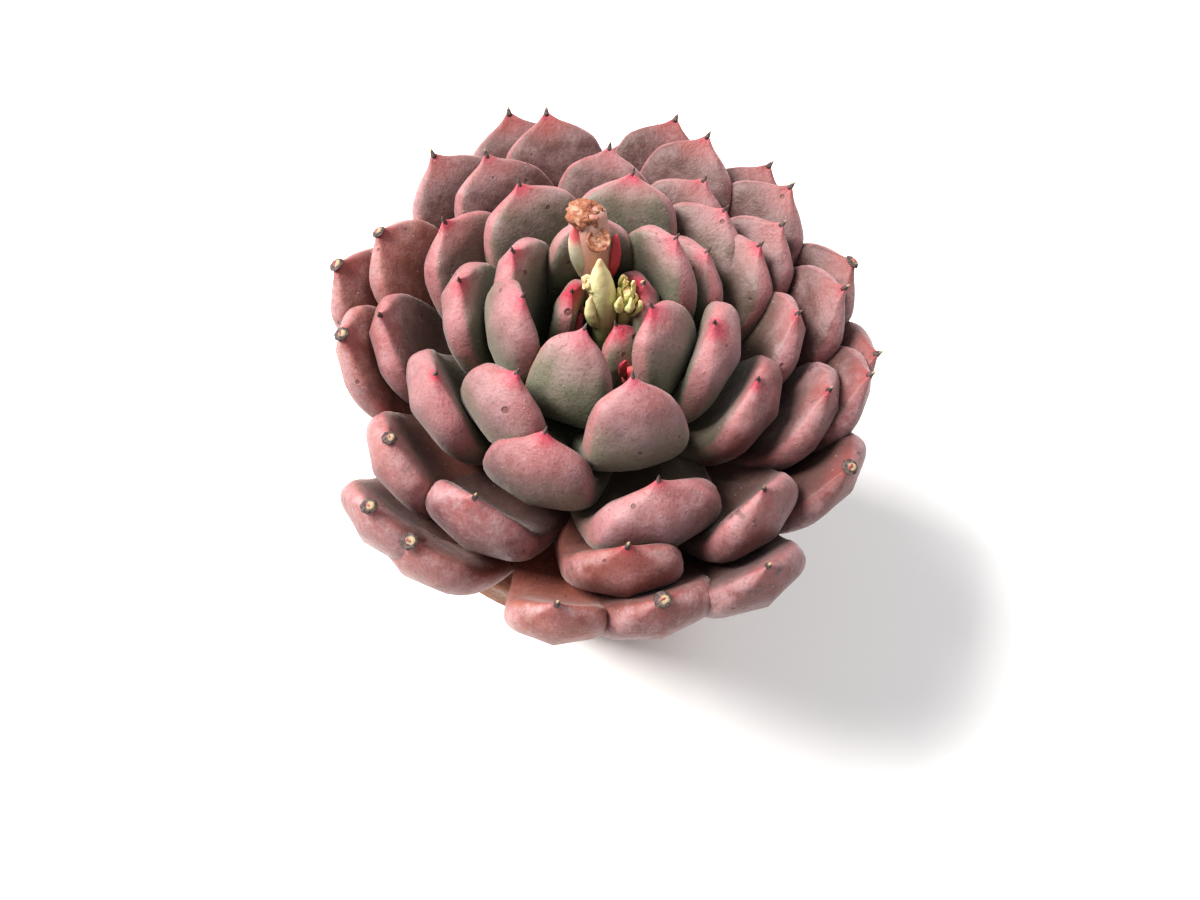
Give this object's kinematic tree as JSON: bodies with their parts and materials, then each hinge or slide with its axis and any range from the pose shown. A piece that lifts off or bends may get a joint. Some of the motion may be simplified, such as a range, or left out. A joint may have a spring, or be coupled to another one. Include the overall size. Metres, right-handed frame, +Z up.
{
  "type": "potted zaragoza echeveria",
  "caption": "Dusty-rose echeveria rosette with thick, incurved, pointed leaves and a cut flower stalk, in gritty soil in a plain tapered clay pot",
  "frame": {"origin": "the middle of the pot's underside, on the surface that it stands on", "axes": "+Z is up the stem; -Y is the front, the side that the picture was taken from; +X is to the right seen from the front"},
  "size_m": [0.0711, 0.0732, 0.0897],
  "materials": {
    "pot": "unglazed, matt",
    "soil": "loose and gritty",
    "leaf": "waxy, powdery bloom",
    "stalk": "dried, matt",
    "pale_shoot": "waxy",
    "green_shoot": "waxy",
    "bud": "waxy"
  },
  "bodies": {
    "root": {"pot": "pot", "soil": "soil", "rosette": "leaf", "old_flower_stalk": "stalk", "young_shoot": "pale_shoot", "small_shoot": "green_shoot", "crimson_bud": "bud"}
  },
  "joints": []
}
